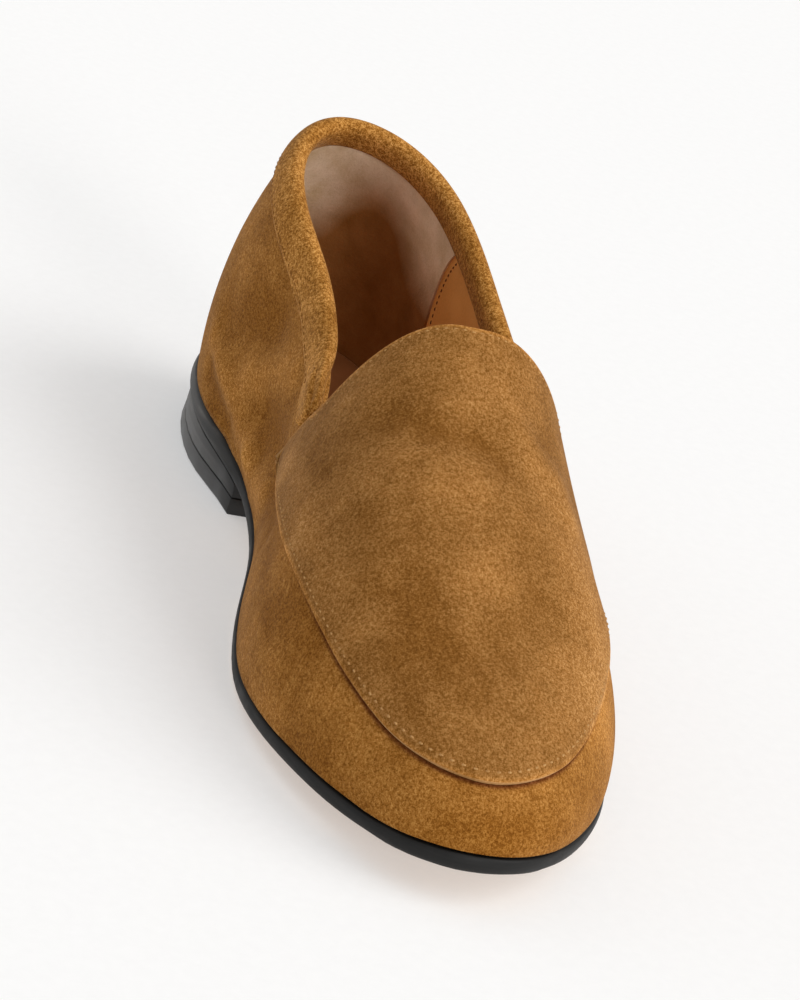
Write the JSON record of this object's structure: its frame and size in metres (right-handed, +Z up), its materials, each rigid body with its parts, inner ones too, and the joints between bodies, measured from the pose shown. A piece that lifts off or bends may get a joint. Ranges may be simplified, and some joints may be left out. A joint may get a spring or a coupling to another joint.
{
  "type": "loafer",
  "caption": "Left slip-on loafer in tan suede with an apron front, a rounded throat and a bound collar, on a thin black-edged sole with a low heel.",
  "frame": {"origin": "on the floor, under the middle of the shoe's box", "axes": "+X along the shoe to the toe, +Y to the wearer's left (the outer side of this left shoe), +Z up"},
  "size_m": [0.2592, 0.079, 0.0821],
  "materials": {
    "tan_suede": "soft brushed nap, matte, mottled tan",
    "apron_suede": "soft brushed nap, matte, a little lighter on top",
    "binding_suede": "coarse brushed nap, folded and stitched",
    "lining_leather": "smooth tan lining leather, satin",
    "sole_leather": "black dyed and waxed edge, natural tan underside",
    "heel_leather": "black stacked heel, waxed",
    "heel_rubber": "black matte rubber"
  },
  "bodies": {
    "root": {"outsole": "sole_leather", "heel_block": "heel_leather", "heel_top_lift": "heel_rubber", "insole": "lining_leather", "upper": "tan_suede", "apron": "apron_suede", "collar_binding": "binding_suede", "back_strip": "tan_suede"}
  },
  "joints": []
}
